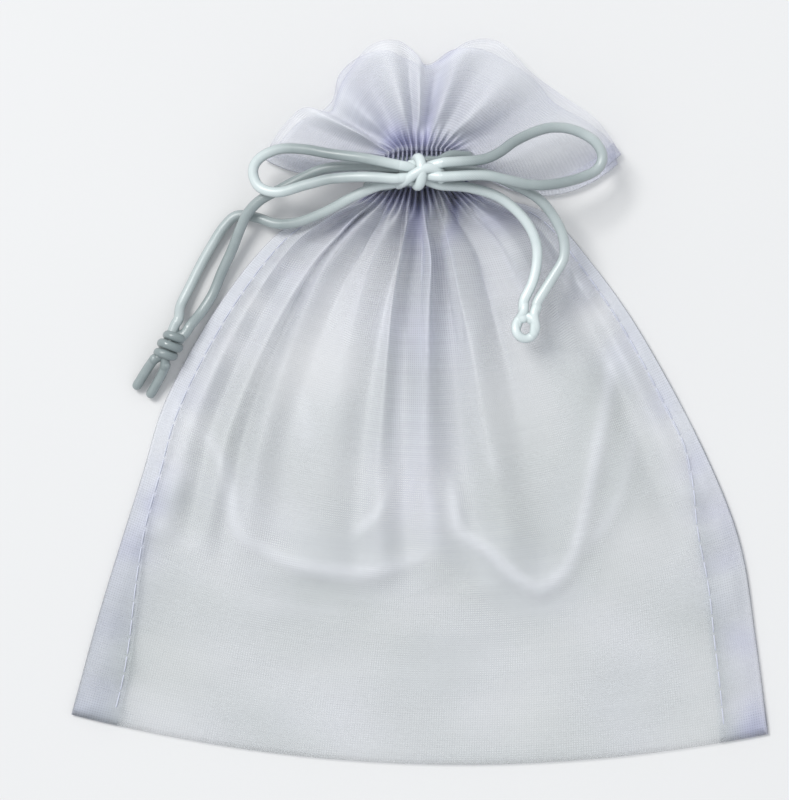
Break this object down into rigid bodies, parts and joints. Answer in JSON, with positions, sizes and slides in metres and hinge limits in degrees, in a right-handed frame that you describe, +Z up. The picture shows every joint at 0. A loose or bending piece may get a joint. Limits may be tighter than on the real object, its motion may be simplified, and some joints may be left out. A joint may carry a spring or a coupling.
{
  "type": "drawstring gift pouch",
  "caption": "Empty sheer organza favour pouch lying flat, its mouth gathered in a sewn channel under a ruffled header and tied shut with thin satin drawstrings in a bow.",
  "frame": {"origin": "on the surface that the pouch lies on, under the middle of the cloth's bounding box, free cords left out", "axes": "+X across the pouch to the right of someone looking at its front, +Y from the bottom fold towards the mouth, +Z up out of the front panel"},
  "size_m": [0.1002, 0.104, 0.0124],
  "materials": {
    "organza": "sheer pearly organza, single layer",
    "organza_doubled": "sheer organza turned in and doubled at the side seams",
    "organza_gathered": "sheer organza doubled in the header and crushed into pleats in the channel",
    "thread": "fine polyester sewing thread",
    "satin_cord": "glossy twisted satin cord, pale mint white"
  },
  "bodies": {
    "pouch": {"front_panel": "organza", "back_panel": "organza", "left_side_seam": "organza_doubled", "right_side_seam": "organza_doubled", "left_seam_stitching": "thread", "right_seam_stitching": "thread", "gathered_channel": "organza_gathered", "channel_stitching_lower": "thread", "channel_stitching_upper": "thread", "left_drawstring": "satin_cord", "right_drawstring": "satin_cord", "bow_knot": "satin_cord"},
    "header": {"header_front": "organza_gathered", "header_back": "organza_gathered"},
    "left_loop": {"bow_loop_left": "satin_cord"},
    "right_loop": {"bow_loop_right": "satin_cord"},
    "left_tail": {"tail_left_inner": "satin_cord", "tail_left_outer": "satin_cord", "end_knot_left": "satin_cord", "cord_tip_left_a": "satin_cord", "cord_tip_left_b": "satin_cord"},
    "right_tail": {"tail_right_front": "satin_cord", "tail_right_back": "satin_cord", "end_knot_right": "satin_cord"}
  },
  "joints": [
    {"name": "header_fold", "type": "hinge", "parent": "pouch", "child": "header", "pos_m": [0, 0.0369, 0.0035], "axis": [1, 0, 0], "range_deg": [0, 30]},
    {"name": "left_loop_lift", "type": "hinge", "parent": "pouch", "child": "left_loop", "pos_m": [-0.003, 0.0326, 0.01135], "axis": [0, 1, 0], "range_deg": [0, 60]},
    {"name": "right_loop_lift", "type": "hinge", "parent": "pouch", "child": "right_loop", "pos_m": [0.003, 0.0326, 0.01135], "axis": [0, -1, 0], "range_deg": [0, 60]},
    {"name": "left_tail_swing", "type": "hinge", "parent": "pouch", "child": "left_tail", "pos_m": [0, 0.0326, 0.0104], "axis": [0, 0, 1], "range_deg": [-20, 0]},
    {"name": "right_tail_swing", "type": "hinge", "parent": "pouch", "child": "right_tail", "pos_m": [0, 0.0326, 0.0104], "axis": [0, 0, 1], "range_deg": [-30, 15]}
  ]
}
